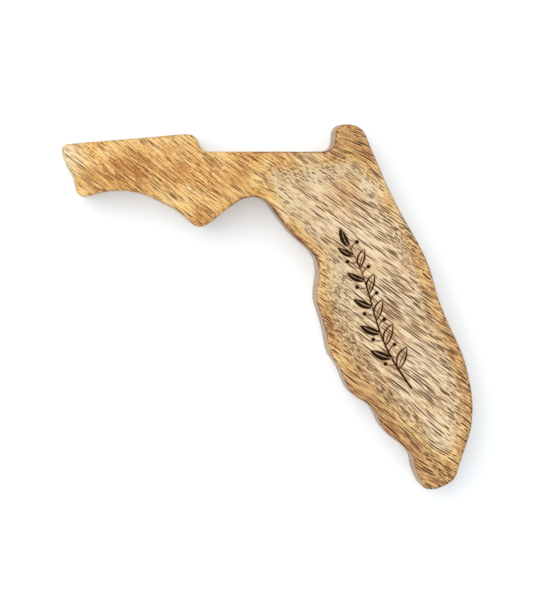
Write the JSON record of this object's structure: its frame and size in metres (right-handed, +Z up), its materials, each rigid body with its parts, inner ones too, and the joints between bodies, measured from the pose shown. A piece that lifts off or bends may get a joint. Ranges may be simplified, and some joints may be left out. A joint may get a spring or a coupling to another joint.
{
  "type": "trinket dish",
  "caption": "Small flat wooden trinket dish in a map outline, a panhandle and a slanting peninsula, with a shallow coved scoop carved in the peninsula.",
  "frame": {"origin": "centre of the dish's bounding box in plan, on the plane of its flat underside", "axes": "+X east, along the panhandle towards the peninsula; +Y north, towards the panhandle's straight top edge; +Z up, out of the scoop"},
  "size_m": [0.1232, 0.11, 0.016],
  "materials": {
    "oiled_wood": "oiled open-pored hardwood, satin, lightly scorched at the thin edges, with a burnt sprig in the scoop"
  },
  "bodies": {
    "root": {"dish": "oiled_wood"}
  },
  "joints": []
}
